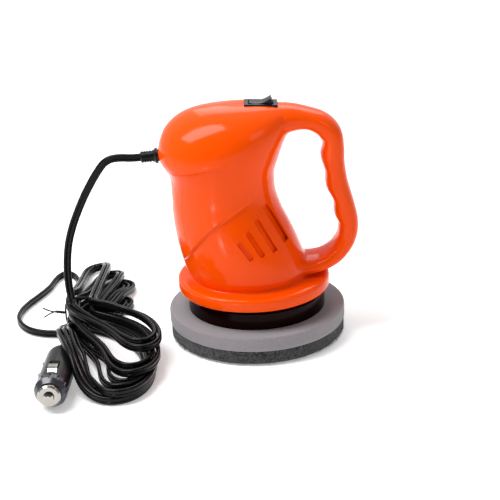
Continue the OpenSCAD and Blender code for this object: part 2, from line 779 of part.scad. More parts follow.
plug_r = plug_d / 2;
leaf_rise = 1;
plug_heading = -3;
plug_at = [-127.5, -57, plug_r + leaf_rise + 0.1];
barrel_bore = plug_r - 2.2;
collar_l = 8;
window_from = barrel_l - 19;
window_l = 16;
leaf_w = 6;
nut_r = plug_r - 3;
tip_r = 3.2;
fuse_r = 3;
fuse_l = 25;
tip_from = barrel_l + collar_l - 2;

module at_plug() {
    translate(plug_at) rotate([0, 0, plug_heading]) rotate([90, 0, 0]) children();
}

module plug_barrel() {
    color([0.08, 0.08, 0.09]) at_plug() difference() {
        union() {
            rotate_extrude() polygon(concat(
                [[0, 0], [5.6, 0]],
                [for (a = [0:15:90]) [5.6 + (plug_r - 5.6) * sin(a), 6 * (1 - cos(a))]],
                [[plug_r, barrel_l], [0, barrel_l]]));
            for (s = [10, barrel_l - 20]) translate([-plug_r - 1.2, -1, s]) cube([3, 2, 3]);
        }
        translate([0, 0, 5]) cylinder(r = barrel_bore, h = barrel_l);
        translate([0, 0, -1]) cylinder(r = cord_hole_r, h = 8);
        translate([-leaf_w / 2 - 0.4, -20, window_from]) cube([leaf_w + 0.8, 40, window_l]);
    }
}

module plug_collar() {
    color([0.1, 0.1, 0.13]) at_plug() translate([0, 0, barrel_l]) difference() {
        rotate_extrude() polygon([[0, 0], [plug_r, 0], [plug_r, 4.5], [plug_r - 2.4, collar_l], [0, collar_l]]);
        translate([0, 0, -1]) cylinder(r = nut_r - 1.8, h = 20);
        for (k = [0:11]) rotate(30 * k) translate([plug_r + 0.35, 0, -1]) cylinder(r = 0.8, h = 20);
    }
}

module plug_ring_nut() {
    color("silver") at_plug() translate([0, 0, barrel_l + collar_l]) difference() {
        rotate_extrude() polygon([[0, 0], [nut_r, 0], [nut_r, 2], [nut_r - 1, 3.2], [0, 3.2]]);
        translate([0, 0, -1]) cylinder(r = tip_r + 0.3, h = 9);
    }
}

module plug_tip() {
    color("gainsboro") at_plug() rotate_extrude() polygon([
        [0, tip_from], [nut_r - 2.3, tip_from], [nut_r - 2.3, tip_from + 1.8], [tip_r, tip_from + 1.8],
        [tip_r, tip_from + 6.6], [1.6, tip_from + 7.4], [0, tip_from + 7.4]]);
}

module plug_fuse() {
    color([0.8, 0.85, 0.85]) at_plug() translate([0, 0, tip_from - fuse_l]) cylinder(r = fuse_r, h = fuse_l);
}

// Pushes the fuse and the tip forward; drawn as the sleeve that its turns fill
module plug_spring() {
    color("silver") at_plug() translate([0, 0, 6]) tube(fuse_r, fuse_r - 0.8, tip_from - fuse_l - 6);
}

// Bowed leaf that stands out of the barrel's window
module plug_leaf() {
    t = 0.6;
    low = barrel_bore - 0.9;
    high = plug_r + leaf_rise;
    function bow(s) = low + (high - t - low) * sin(180 * s);
    line = [for (k = [0:8]) [bow(k / 8), window_from + 0.6 + (window_l - 1.2) * k / 8]];
    back = [for (k = [8:-1:0]) line[k] - [t, 0]];
    rotate([90, 0, 0]) linear_extrude(leaf_w, center = true) polygon(concat([for (p = line) p + [t, 0]], back));
}

module plug_contact_upper() {
    color("gainsboro") at_plug() rotate(90) plug_leaf();
}

module plug_contact_lower() {
    color("gainsboro") at_plug() rotate(-90) plug_leaf();
}

module plug_boot() {
    color([0.07, 0.07, 0.08]) at_plug() difference() {
        rotate_extrude() polygon(concat([[0, -20], [3.9, -20]],
            [for (i = [0:4], e = [[0, 0], [1.6, 0], [1.6, -0.7], [2.6, -0.7]])
                [4 + 0.35 * i + e[1], -19.5 + 3.2 * i + e[0]]],
            [[5.6, -3], [5.6, 0], [0, 0]]));
        translate([0, 0, -21]) cylinder(r = cord_hole_r, h = 22);
    }
}

// ---------- one line for each piece ----------

housing_front();
housing_rear();
housing_screws();
switch_body();
switch_rocker();
switch_terminals();
strain_relief();
cord_clamp();
clamp_screws();
cord_lead();
cord_hank();
cord_tail();
twist_tie();
supply_wire();
switch_wire();
return_wire();
motor_plate();
plate_screws();
motor_screws();
motor_can();
motor_end_cap();
motor_magnets();
front_bush();
rear_bush();
armature_core();
armature_windings();
commutator();
motor_brushes();
brush_arms();
motor_terminals();
motor_shaft();
eccentric_weight();
weight_set_screw();
bearing_inner_ring();
bearing_outer_ring();
bearing_balls();
bearing_cage();
pad_washer();
pad_screw();
backing_plate();
foam_pad();
sponge_face();
plug_barrel();
plug_collar();
plug_ring_nut();
plug_tip();
plug_fuse();
plug_spring();
plug_contact_upper();
plug_contact_lower();
plug_boot();
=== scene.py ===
"""Looks of a hand-held orbital car polisher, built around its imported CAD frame.

Lengths in the tables are millimetres in the row frame and become metres in mesh_piece().
"""

import json
import math
import random

import bmesh
import bpy
import numpy as np
from mathutils import Matrix, Vector, noise


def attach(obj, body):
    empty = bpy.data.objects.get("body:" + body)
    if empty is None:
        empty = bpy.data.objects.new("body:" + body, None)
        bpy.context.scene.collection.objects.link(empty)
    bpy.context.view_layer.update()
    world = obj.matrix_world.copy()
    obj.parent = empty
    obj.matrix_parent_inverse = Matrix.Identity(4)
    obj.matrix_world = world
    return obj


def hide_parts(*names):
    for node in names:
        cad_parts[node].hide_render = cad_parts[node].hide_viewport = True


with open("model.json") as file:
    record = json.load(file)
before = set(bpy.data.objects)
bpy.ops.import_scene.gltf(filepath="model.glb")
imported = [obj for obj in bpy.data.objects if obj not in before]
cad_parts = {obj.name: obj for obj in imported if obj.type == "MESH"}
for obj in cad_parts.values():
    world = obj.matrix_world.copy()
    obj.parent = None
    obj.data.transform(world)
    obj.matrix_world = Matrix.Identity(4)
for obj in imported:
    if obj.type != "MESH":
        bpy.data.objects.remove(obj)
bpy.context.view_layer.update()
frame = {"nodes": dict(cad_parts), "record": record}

MM = 0.001
Y, Z = Vector((0, 1, 0)), Vector((0, 0, 1))
rng = random.Random(7)


# ---------- sizes shared with the CAD source ----------

WALL = 2.4
PAD_R, SPONGE_H, PAD_TOP, SPONGE_INSET = 60, 10, 20, 1
RING_R, RING_X, RING_BOTTOM, RING_H = 51.5, -1.5, 34.2, 8.8
PLATE_TOP, RING_HOLE_R, MOTOR_X = 40, 34, -4
BODY_BASE, BODY_H = 42.5, 118.57
SWITCH_AT, SWITCH_TILT = Vector((7.5, 0, 159.665)), math.radians(3)
BEZEL_L, BEZEL_W, BEZEL_H = 21.8, 15, 2
RELIEF_AT, RELIEF_TILT = Vector((-61.3, 0, 128.1)), math.radians(4)
GAP = 0.12              # half the gap at the parting line

# Height share, left edge, right edge and half depth of the body
BODY_ROWS = [
    (0.00, -43.0, 35.0, 39.0), (0.06, -47.0, 35.0, 40.5), (0.16, -50.3, 31.3, 40.5),
    (0.28, -52.8, 25.5, 39.0), (0.40, -53.9, 19.0, 37.0), (0.50, -53.9, 15.5, 35.5),
    (0.585, -54.3, 15.0, 35.5), (0.64, -56.6, 16.0, 36.3), (0.70, -60.6, 18.5, 37.3),
    (0.75, -61.3, 20.5, 37.6), (0.82, -59.5, 24.0, 36.5), (0.89, -55.0, 27.0, 33.0),
    (0.95, -46.5, 27.0, 26.0), (0.985, -35.0, 22.0, 16.5), (1.00, -20.0, 12.0, 8.0),
]
# Centre x, height share, half thickness and half width of the handle, from the head to the ring
HANDLE_ROWS = [
    (12, 0.905, 10.0, 17), (26, 0.912, 8.8, 14.5), (37, 0.905, 6.9, 12.5), (46.5, 0.872, 7.2, 12),
    (52.5, 0.815, 7.5, 12), (54, 0.740, 7.6, 12), (54.2, 0.645, 7.6, 12), (56.5, 0.530, 7.2, 12),
    (60.5, 0.402, 7.2, 12), (63.3, 0.290, 7.0, 12), (61.5, 0.195, 6.6, 12.5), (54.5, 0.112, 6.2, 14),
    (44, 0.063, 5.6, 16), (32, 0.050, 5.6, 18), (22, 0.048, 5.6, 18),
]
GRIP_FROM, GRIP_TO, FINGER_WAVE, WAVE_PITCH = 4, 9, 0.9, 20
# Upper and lower end of each vent, x and z
VENT_SLOTS = [((7.5, 98), (21, 72)), ((1.5, 91), (13.5, 68.5)), ((-4.5, 84.5), (5.5, 67)),
              ((-10.5, 78.5), (-2, 66))]
VENT_W, VENT_FLOOR = 3.2, 0.4
# Place x and height share of the screws that hold the two halves together
SCREW_SPOTS = [(-41, 0.17), (-43, 0.56), (4, 0.66), (50.6, 0.835), (62.5, 0.25)]

# Where the handle leaves the body: x, z and reach of the wide fillets
JUNCTIONS = [(23, 140, 20), (33, 56, 15)]

# Edges moulded into both faces of the body, in side view: the surface above each line stands proud
SHOULDER_LINE = [(-60, 116), (-55, 118.5), (-45, 122.6), (-38.6, 124.2), (-31, 126.6), (-22.6, 128.9),
                 (-14, 130.2), (-6, 130)]
FLANK_LINE = [(4, 114), (-1.9, 104), (-7.2, 100.7), (-13.2, 97), (-21.5, 91.6), (-30.6, 84), (-36.2, 77.2),
              (-41.3, 69.9), (-46.9, 59.8), (-50, 55)]


# ---------- mesh helpers ----------

def mesh_piece(name, points, faces, scale=MM):
    mesh = bpy.data.meshes.new(name)
    mesh.from_pydata([Vector(p) * scale for p in points], [], faces)
    mesh.update()
    obj = bpy.data.objects.new(name, mesh)
    bpy.context.scene.collection.objects.link(obj)
    return obj


def bake(obj):
    """Applies the modifiers of obj, and gives it back."""
    graph = bpy.context.evaluated_depsgraph_get()
    mesh = bpy.data.meshes.new_from_object(obj.evaluated_get(graph))
    obj.modifiers.clear()
    obj.data = mesh
    return obj


def modify(obj, kind, **values):
    modifier = obj.modifiers.new(kind, kind)
    for key, value in values.items():
        setattr(modifier, key, value)
    return bake(obj)


def boolean(obj, other, operation="DIFFERENCE", keep=False):
    modify(obj, "BOOLEAN", object=other, operation=operation, solver="MANIFOLD")
    if not keep:
        bpy.data.objects.remove(other)
    return obj


def twin(obj, name):
    copy = bpy.data.objects.new(name, obj.data.copy())
    bpy.context.scene.collection.objects.link(copy)
    return copy


def smooth(obj, angle=35):
    obj.data.shade_smooth()
    obj.data.set_sharp_from_angle(angle=math.radians(angle))
    return obj


def loft(name, rings, closed=False):
    """Skin over rings with the same number of points; its ends are capped unless it is closed."""
    n, m = len(rings[0]), len(rings)
    faces = []
    for i in range(m if closed else m - 1):
        a, b = i * n, (i + 1) % m * n
        faces += [(a + j, a + (j + 1) % n, b + (j + 1) % n, b + j) for j in range(n)]
    if not closed:
        faces += [tuple(range(n - 1, -1, -1)), tuple((m - 1) * n + j for j in range(n))]
    return mesh_piece(name, [p for r in rings for p in r], faces)


def lathe(name, profile, sides=128, centre=(0, 0, 0), ripple=None):
    """Turns a closed profile of (radius, height) about +Z; a radius of 0 becomes one point."""
    points, faces, rows = [], [], []
    for k, (r, z) in enumerate(profile):
        row = []
        for j in range(1 if r == 0 else sides):
            a = 2 * math.pi * j / sides
            p = Vector((r * math.cos(a), r * math.sin(a), z))
            row.append(len(points))
            points.append((p if ripple is None or r == 0 else ripple(p)) + Vector(centre))
        rows.append(row)
    for one, two in zip(rows, rows[1:]):
        for j in range(sides):
            q = [one[j % len(one)], one[(j + 1) % len(one)], two[(j + 1) % len(two)], two[j % len(two)]]
            q = list(dict.fromkeys(q))
            if len(q) > 2:
                faces.append(tuple(q))
    return mesh_piece(name, points, faces)


def blend4(a, b, c, d, t):
    """Catmull-Rom blend between b and c."""
    a, b, c, d = (np.array(v, float) for v in (a, b, c, d))
    bent, twisted = 2 * a - 5 * b + 4 * c - d, 3 * b - a - 3 * c + d
    return 0.5 * (2 * b + (c - a) * t + bent * t * t + twisted * t ** 3)


def smooth_rows(rows, steps):
    last = len(rows) - 1
    out = [blend4(rows[max(i - 1, 0)], rows[i], rows[i + 1], rows[min(i + 2, last)], k / steps)
           for i in range(last) for k in range(steps)]
    return out + [np.array(rows[last], float)]


def heading(points, i):
    return (Vector(points[min(i + 1, len(points) - 1)]) - Vector(points[max(i - 1, 0)])).normalized()


def box(name, low, high):
    corners = [(x, y, z) for x in (low[0], high[0]) for y in (low[1], high[1]) for z in (low[2], high[2])]
    return mesh_piece(name, corners,
                      [(0, 1, 3, 2), (4, 6, 7, 5), (0, 4, 5, 1), (2, 3, 7, 6), (0, 2, 6, 4), (1, 5, 7, 3)])


def rounded_outline(length, width, radius, steps=5):
    """Points of a rounded rectangle about the origin."""
    out = []
    for k, (sx, sy) in enumerate(((1, 1), (-1, 1), (-1, -1), (1, -1))):
        cx, cy = sx * (length / 2 - radius), sy * (width / 2 - radius)
        for s in range(steps + 1):
            a = math.pi / 2 * (k + s / steps)
            out.append((cx + radius * math.cos(a), cy + radius * math.sin(a)))
    return out


def prism(name, outline, place, near, far):
    """Extrudes an outline, placed by a matrix in millimetres, from near to far along its own Z."""
    rings = [[place @ Vector((x, y, h)) for x, y in outline] for h in (near, far)]
    return loft(name, rings)


def cylinder(name, start, end, radius, sides=40):
    axis = Vector(end) - Vector(start)
    turn = axis.to_track_quat("Z", "Y").to_matrix().to_4x4()
    outline = [(radius * math.cos(2 * math.pi * k / sides), radius * math.sin(2 * math.pi * k / sides))
               for k in range(sides)]
    return prism(name, outline, Matrix.Translation(start) @ turn, 0, axis.length)


def tube(points, radius, sides=10):
    """Rings of a round tube along points; radius may be a function of the share of the way."""
    rings, across = [], None
    for i, p in enumerate(points):
        h = heading(points, i)
        across = (across or h.orthogonal()) - h * (across or h.orthogonal()).dot(h)
        across.normalize()
        other = h.cross(across)
        r = radius(i / (len(points) - 1)) if callable(radius) else radius
        rings.append([Vector(p) + r * (math.cos(a) * across + math.sin(a) * other)
                      for a in (2 * math.pi * k / sides for k in range(sides))])
    return rings


def spline(points, step):
    """A Catmull-Rom line through points, with a point about every step."""
    out, last = [], len(points) - 1
    for i in range(last):
        a, b, c, d = points[max(i - 1, 0)], points[i], points[i + 1], points[min(i + 2, last)]
        n = max(1, round((Vector(c) - Vector(b)).length / step))
        out += [Vector(blend4(a, b, c, d, k / n)) for k in range(n)]
    return out + [Vector(points[last])]


def finish_piece(obj, body, slot, *replaced):
    """Paints obj with its slot's material, rides it on its body and lets it stand for CAD nodes."""
    obj.data.materials.clear()
    obj.data.materials.append(MATERIALS[slot])
    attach(obj, body)
    if replaced:
        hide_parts(*replaced)
    return obj


# ---------- materials ----------

def material(name, colour, rough, metal=0.0, coat=0.0, spec=0.5, grain=None, bump=None, mottle=None,
             sheen=0.0):
    """A node material: grain (scale, low, high) varies the roughness, bump (scale, depth) the surface
    and mottle (scale, other colour, share) the colour."""
    m = bpy.data.materials.new(name)
    m.use_nodes = True
    nodes, links = m.node_tree.nodes, m.node_tree.links
    shader = nodes["Principled BSDF"]
    put = shader.inputs
    put["Base Color"].default_value = (*colour, 1)
    put["Roughness"].default_value = rough
    put["Metallic"].default_value = metal
    put["Specular IOR Level"].default_value = spec
    put["Coat Weight"].default_value = coat
    put["Coat Roughness"].default_value = 0.05
    put["Sheen Weight"].default_value = sheen
    place = nodes.new("ShaderNodeTexCoord").outputs["Object"]

    def texture(scale, detail=3.0):
        t = nodes.new("ShaderNodeTexNoise")
        t.inputs["Scale"].default_value = scale
        t.inputs["Detail"].default_value = detail
        links.new(place, t.inputs["Vector"])
        return t.outputs["Fac"]

    def span(source, low, high):
        r = nodes.new("ShaderNodeMapRange")
        r.inputs["From Min"].default_value, r.inputs["From Max"].default_value = 0.3, 0.7
        r.inputs["To Min"].default_value, r.inputs["To Max"].default_value = low, high
        links.new(source, r.inputs["Value"])
        return r.outputs["Result"]

    if grain:
        links.new(span(texture(grain[0]), grain[1], grain[2]), put["Roughness"])
    if mottle:
        mix = nodes.new("ShaderNodeMix")
        mix.data_type = "RGBA"
        mix.inputs[6].default_value = (*colour, 1)
        mix.inputs[7].default_value = (*mottle[1], 1)
        links.new(span(texture(mottle[0], 5), 0, mottle[2]), mix.inputs["Factor"])
        links.new(mix.outputs[2], put["Base Color"])
    if bump:
        b = nodes.new("ShaderNodeBump")
        b.inputs["Strength"].default_value = 1
        b.inputs["Distance"].default_value = bump[1] * MM
        links.new(texture(bump[0], 4), b.inputs["Height"])
        links.new(b.outputs["Normal"], put["Normal"])
    return m


MATERIALS = {
    "orange": material("orange_gloss", (0.86, 0.072, 0.0005), 0.12, spec=0.14, grain=(90, 0.1, 0.15),
                       bump=(260, 0.003), mottle=(25, (0.82, 0.065, 0.0005), 0.5)),
    "black_plastic": material("black_satin", (0.004, 0.004, 0.005), 0.3, spec=0.2, grain=(900, 0.26, 0.36),
                              bump=(2600, 0.005), mottle=(700, (0.008, 0.008, 0.009), 0.8)),
    "black_gloss": material("hub_gloss", (0.004, 0.001, 0.001), 0.12, spec=0.05, grain=(200, 0.08, 0.16),
                            bump=(300, 0.004), mottle=(60, (0.012, 0.001, 0.001), 0.8)),
    "cord_black": material("cord_vinyl", (0.0025, 0.0025, 0.003), 0.24, spec=0.14, grain=(150, 0.2, 0.28),
                           bump=(400, 0.002), mottle=(500, (0.006, 0.006, 0.007), 0.8)),
    "collar_black": material("collar_gloss", (0.008, 0.009, 0.016), 0.24, coat=0.1, grain=(600, 0.2, 0.3),
                             bump=(900, 0.01), mottle=(300, (0.02, 0.02, 0.035), 0.7)),
    "foam_grey": material("foam_grey", (0.3, 0.28, 0.297), 0.95, spec=0.15, sheen=0.3, bump=(2200, 0.35),
                          mottle=(1500, (0.2, 0.184, 0.197), 0.9)),
    "sponge_dark": material("sponge_dark", (0.09, 0.09, 0.093), 1.0, spec=0.1, sheen=0.3, bump=(1100, 1.2),
                            mottle=(620, (0.006, 0.006, 0.007), 1.0)),
    "steel": material("plain_steel", (0.55, 0.55, 0.56), 0.3, metal=1, grain=(500, 0.22, 0.38),
                      bump=(1500, 0.006), mottle=(300, (0.45, 0.45, 0.46), 0.6)),
    "dark_steel": material("oxide_steel", (0.08, 0.08, 0.085), 0.38, metal=1, grain=(500, 0.3, 0.45),
                           bump=(1500, 0.008), mottle=(400, (0.05, 0.05, 0.05), 0.7)),
    "zinc": material("zinc_plate", (0.5, 0.5, 0.52), 0.34, metal=1, grain=(300, 0.26, 0.44),
                     bump=(1200, 0.006), mottle=(200, (0.42, 0.42, 0.43), 0.7)),
    "bright": material("bright_plate", (0.34, 0.325, 0.305), 0.24, metal=1, grain=(500, 0.1, 0.2),
                       bump=(900, 0.004), mottle=(300, (0.42, 0.4, 0.37), 0.6)),
    "brass": material("brass", (0.65, 0.42, 0.14), 0.28, metal=1, grain=(500, 0.22, 0.36),
                      bump=(1200, 0.006), mottle=(300, (0.5, 0.32, 0.1), 0.6)),
    "bronze": material("sintered_bronze", (0.45, 0.22, 0.09), 0.5, metal=1, grain=(900, 0.4, 0.6),
                       bump=(2500, 0.02), mottle=(900, (0.3, 0.15, 0.06), 0.7)),
    "ferrite": material("ferrite", (0.03, 0.03, 0.032), 0.6, grain=(900, 0.5, 0.7), bump=(2500, 0.03),
                        mottle=(900, (0.045, 0.045, 0.048), 0.7)),
    "copper": material("copper_wire", (0.6, 0.2, 0.07), 0.3, metal=1, grain=(900, 0.25, 0.4),
                       bump=(1800, 0.12), mottle=(900, (0.4, 0.12, 0.04), 0.7)),
    "carbon": material("graphite", (0.02, 0.02, 0.02), 0.55, grain=(900, 0.45, 0.65), bump=(2500, 0.02),
                       mottle=(900, (0.035, 0.035, 0.035), 0.7)),
    "ivory": material("ivory_nylon", (0.75, 0.7, 0.58), 0.45, grain=(400, 0.38, 0.52), bump=(1200, 0.01),
                      mottle=(300, (0.68, 0.63, 0.5), 0.5)),
    "red_pvc": material("red_vinyl", (0.4, 0.01, 0.008), 0.35, grain=(400, 0.3, 0.42), bump=(1200, 0.01),
                        mottle=(400, (0.33, 0.008, 0.006), 0.6)),
    "glass": material("fuse_glass", (0.75, 0.8, 0.8), 0.08, grain=(200, 0.05, 0.12), bump=(300, 0.003),
                      mottle=(200, (0.7, 0.75, 0.75), 0.5)),
}
SLOTS = {s["node"]: s["material_slot"] for s in frame["record"]["subparts"]}
for node, obj in frame["nodes"].items():
    obj.data.materials.clear()
    obj.data.materials.append(MATERIALS[SLOTS[node]])
    smooth(obj, 30)


# ---------- camera, stage and light ----------

def make_camera():
    pitch, yaw, roll = 0.3754, -0.0037, -0.0415
    ahead = Vector((math.sin(yaw) * math.cos(pitch), math.cos(yaw) * math.cos(pitch), -math.sin(pitch)))
    level = Vector((math.cos(yaw), -math.sin(yaw), 0))
    lift = level.cross(ahead)
    right = math.cos(roll) * level + math.sin(roll) * lift
    up = -math.sin(roll) * level + math.cos(roll) * lift
    data = bpy.data.cameras.new("camera")
    data.sensor_width, data.lens = 36, 102.82
    data.clip_start, data.clip_end = 0.01, 20
    camera = bpy.data.objects.new("camera", data)
    turned = Matrix((right, up, -ahead)).transposed().to_4x4()
    camera.matrix_world = Matrix.Translation((0, -0.9, 0.4131)) @ turned
    bpy.context.scene.collection.objects.link(camera)
    bpy.context.scene.camera = camera


def softbox(name, at, towards, size, power, colour=(1, 1, 1)):
    data = bpy.data.lights.new(name, "AREA")
    data.shape, data.size, data.size_y = "RECTANGLE", size[0], size[1]
    data.energy, data.color = power, colour
    lamp = bpy.data.objects.new(name, data)
    lamp.location = at
    lamp.rotation_mode = "QUATERNION"
    lamp.rotation_quaternion = (Vector(towards) - Vector(at)).to_track_quat("-Z", "Y")
    bpy.context.scene.collection.objects.link(lamp)


def make_stage():
    floor = mesh_piece("floor", [(-6, -6, -0.0004), (6, -6, -0.0004), (6, 6, -0.0004), (-6, 6, -0.0004)],
                       [(0, 1, 2, 3)], scale=1)
    paper = material("paper", (0.93, 0.93, 0.93), 0.9, spec=0.1, grain=(20, 0.85, 0.95))
    paper.node_tree.nodes["Principled BSDF"].inputs["Emission Color"].default_value = (1, 1, 1, 1)
    paper.node_tree.nodes["Principled BSDF"].inputs["Emission Strength"].default_value = 0.3
    floor.data.materials.append(paper)
    world = bpy.data.worlds.new("studio")
    world.use_nodes = True
    background = world.node_tree.nodes["Background"]
    background.inputs["Color"].default_value = (1, 1, 1, 1)
    links, nodes = world.node_tree.links, world.node_tree.nodes
    direction = nodes.new("ShaderNodeSeparateXYZ")
    links.new(nodes.new("ShaderNodeTexCoord").outputs["Generated"], direction.inputs["Vector"])
    level = nodes.new("ShaderNodeMapRange")
    level.inputs["From Min"].default_value, level.inputs["From Max"].default_value = -0.9, 0.6
    level.inputs["To Min"].default_value, level.inputs["To Max"].default_value = 0.1, 0.8
    links.new(direction.outputs["Y"], level.inputs["Value"])
    links.new(level.outputs["Result"], background.inputs["Strength"])
    bpy.context.scene.world = world
    bpy.context.scene.view_settings.view_transform = "Standard"
    softbox("key", (-0.51, -0.13, 0.93), (-0.03, -0.02, 0.12), (0.4, 0.85), 12.5)
    softbox("fill", (0.75, -0.75, 0.6), (0, 0, 0.08), (0.4, 0.5), 1.3)
    softbox("card", (-0.18, -0.37, 0.02), (-0.022, -0.038, 0.08), (0.055, 0.03), 0.06)
    softbox("back", (0.1, 0.9, 0.8), (0, 0, 0.08), (0.8, 0.5), 3)


make_camera()
make_stage()


# ---------- cord ----------

CORD_W, CORD_T = 5.4, 2.8
LEAD_ROUTE = [
    (-54, 0, 128.6), (-63, 0, 127.9), (-72.5, 0, 127.3), (-79, 0, 127), (-86, 0, 127.4),
    (-92.5, 0, 126.8), (-98, 0.5, 123.5), (-103, 1, 117), (-108, 1.5, 109), (-113, 2, 100), (-118, 3, 89.5),
    (-122.5, 4, 78.5), (-126, 5, 67), (-128, 6, 55.5), (-129, 7, 44), (-129, 8, 34),
]
TAIL_ROUTE = [
    (-132, 88, 5.5), (-135, 98, 3.2), (-139, 107, 2.8), (-144.5, 110, 2.8), (-149, 105, 2.8),
    (-151, 95, 2.8), (-152.5, 84, 2.8), (-156, 73, 2.8), (-161, 61, 2.8), (-166, 49, 2.8), (-169, 37, 2.8),
    (-169, 25, 2.8), (-165, 14, 2.8), (-158, 5, 2.8), (-148, -0.5, 2.8), (-138, -2.5, 2.8), (-130, -7.5, 3.2),
    (-126.6, -16, 5.5), (-125.9, -26, 9.5), (-126.4, -36.6, 11.5), (-126.9, -46, 11.5),
]
WAIST = Vector((-122, 10, 0))
# The near lobe of the largest turn, seen from above
NEAR_LEFT = [(-128, -14), (-119, -40), (-114, -66), (-108, -90)]
NEAR_RIGHT = [(-95, -107.5), (-79, -102), (-69.5, -82), (-69.0, -54), (-77, -28), (-95, -5)]
# The lowest turns climb over the rear of the plug on their way to the near lobe
OVER_PLUG = [(-134, -6, 8.6), (-134, -23, 16), (-131.5, -42, 23), (-127, -61, 26), (-120, -81, 20),
             (-111.5, -96, 7.5)]
# For each turn: height at the waist, inset, left spread, size and swing in degrees of the near lobe,
# length, lean in degrees and half width of the far loop, over the plug
TURNS = [
    (19.9, 3.2, 0, 0.70, 21, 107, 1, 6.4, False),
    (19.6, 0.0, 5, 0.75, 17, 110, 1, 9.6, False),
    (14.2, 3.2, 2, 0.85, 9, 93, 9, 6.6, False),
    (14.0, 0.0, 6, 0.91, 6.5, 97, 9, 9.8, False),
    (8.5, 6.4, 7, 0.96, 3, 73, 18, 5.2, False),
    (8.4, 3.2, 5, 0.98, 1.5, 77, 18, 8.4, False),
    (8.4, 0.0, 2, 1.01, 0, 81, 18, 11.6, False),
    (2.9, 3.2, 0, 1.00, 0, 50, 34, 7.0, True),
    (2.8, 0.0, 0, 1.00, 0, 54, 34, 10.2, True),
    (2.8, 6.4, 0, 0.99, 0, 0, 0, 0, True),
]
LEAD_INTO_TIE = [(-128.8, 9.5, 27.5), (-129, 4, 22.5)]
TAIL_OUT_OF_TIE = [(-122, 10, 2.8), (-127, 34, 2.8), (-130, 60, 3.4)]


def far_loop(length, lean, half, height):
    """A narrow loop that leaves the waist and sinks to the table."""
    run, turned = length - half, Matrix.Rotation(math.radians(-lean), 3, "Z")
    side = [(0.95 * half, 0.3 * run), (half, 0.65 * run), (half, run), (0.72 * half, length - 0.3 * half)]
    points = side + [(0, length)] + [(-x, y) for x, y in reversed(side)]
    fall = [0.92, 0.68, 0.4, 0.2, 0.09, 0.03, 0.08, 0.4, 0.86]
    out = []
    for (x, y), share in zip(points, fall):
        p = WAIST + turned @ Vector((x, y, 0))
        out.append((p.x, p.y, 2.8 + (height - 2.8) * share))
    return out


def hank_turn(height, inset, spread, size, swing, far_length, lean, half, over_plug):
    """Points of one turn: near lobe, waist, far loop. Inset moves the near line towards the lobe's middle."""
    turned, middle = Matrix.Rotation(math.radians(swing), 3, "Z"), Vector((-95, -62, 0)) - WAIST

    def lobe(points, inwards):
        out = []
        for (x, y), more in zip(points, inwards):
            rel = Vector((x, y, 0)) - WAIST
            p = WAIST + size * (turned @ rel) + (turned @ (middle - rel)).normalized() * (inset + more)
            out.append((p.x, p.y, height))
        return out

    left, right = -131.2 + 0.9 * inset, -112.8 - 0.9 * inset
    if over_plug:
        way_out = [(x + inset, y + 0.3 * inset, z) for x, y, z in OVER_PLUG]
    else:
        way_out = lobe(NEAR_LEFT, [0.35 * spread, 0.85 * spread, 1.1 * spread, spread])
    turn = [(left, 10, height)] + way_out + lobe(NEAR_RIGHT, [0.6 * spread, 0.2 * spread, 0, 0, 0, 0])
    if not far_length:
        return turn
    return turn + [(right, 10, height)] + far_loop(far_length, lean, half, height)


# Rear end, heading, radius and length of the plug's barrel
PLUG_END, PLUG_AXIS = np.array((-126.9, -46, 11.5)), np.array((-0.05234, -0.99863))
PLUG_R, PLUG_REACH = 10.8, 62
# Room inside the tie, and how far to each side of it the lead is held together
TIE_HALF_W, TIE_TOP, TIE_REACH = 10.0, 23.0, 3.5
SPACING = 2.4             # between the points of the centreline
EASY_BEND_R = 9.0         # a bend tighter than this is straightened a little


def cord_route():
    """The whole settled centreline, and how many of its points come before the hank."""
    lead = list(LEAD_ROUTE) + LEAD_INTO_TIE
    hank = [p for i, turn in enumerate(TURNS) for p in hank_turn(*turn)[(1 if i == 0 else 0):]]
    line = spline(lead + hank + TAIL_OUT_OF_TIE + TAIL_ROUTE, SPACING)
    free_from = len(spline(lead, SPACING)) - 6
    free_to = len(line) - len(spline(TAIL_ROUTE[6:], SPACING))
    return settle(line, free_from, free_to), free_from + 5


def near_pairs(at, size):
    """Pairs of points, apart along the lead, that are close enough to touch soon."""
    scaled = (at / size).astype(np.float32)
    pairs = []
    for i in range(0, len(at), 200):         # in batches, to keep the table of distances small
        gap = np.abs(scaled[i:i + 200, None] - scaled[None]).max(axis=2)
        one, two = np.nonzero(gap < 1.6)
        one = one + i
        keep = two - one > 6
        pairs.append(np.stack((one[keep], two[keep])))
    return np.concatenate(pairs, axis=1)


def push_apart(at, one, two, size):
    """How far each point has to move so that touching turns part, spread along the lead."""
    n = len(at)
    apart = (at[one] - at[two]) / size
    dist = np.maximum(np.linalg.norm(apart, axis=1), 1e-3)
    push = (np.clip(1 - dist, 0, None) / dist / 2)[:, None] * apart * size
    total, count = np.zeros((n, 3)), np.ones(n)
    np.add.at(total, one, push)
    np.add.at(total, two, -push)
    hit = dist < 1
    np.add.at(count, one[hit], 0.6)
    np.add.at(count, two[hit], 0.6)
    shift = total / count[:, None] * 1.6
    for _ in range(8):                       # without this the lead would kink
        shift[1:-1] = (shift[:-2] + 2 * shift[1:-1] + shift[2:]) / 4
    return shift


def ease_bends(at, free, straighten):
    """Moves points towards the middle of their neighbours where the bend is tight."""
    easy = 0.5 * SPACING ** 2 / EASY_BEND_R
    off = (at[:-2] + at[2:]) / 2 - at[1:-1]
    far = np.linalg.norm(off, axis=1)
    share = np.clip(far - easy, 0, None) / np.maximum(far, 1e-6)
    bend = off * share[:, None]
    at[1:-1] += 0.5 * bend * free[1:-1, None]
    at[:-2] -= 0.25 * bend * free[:-2, None]
    at[2:] -= 0.25 * bend * free[2:, None]
    if straighten:
        at[1:-1] += 0.25 * off * free[1:-1, None]


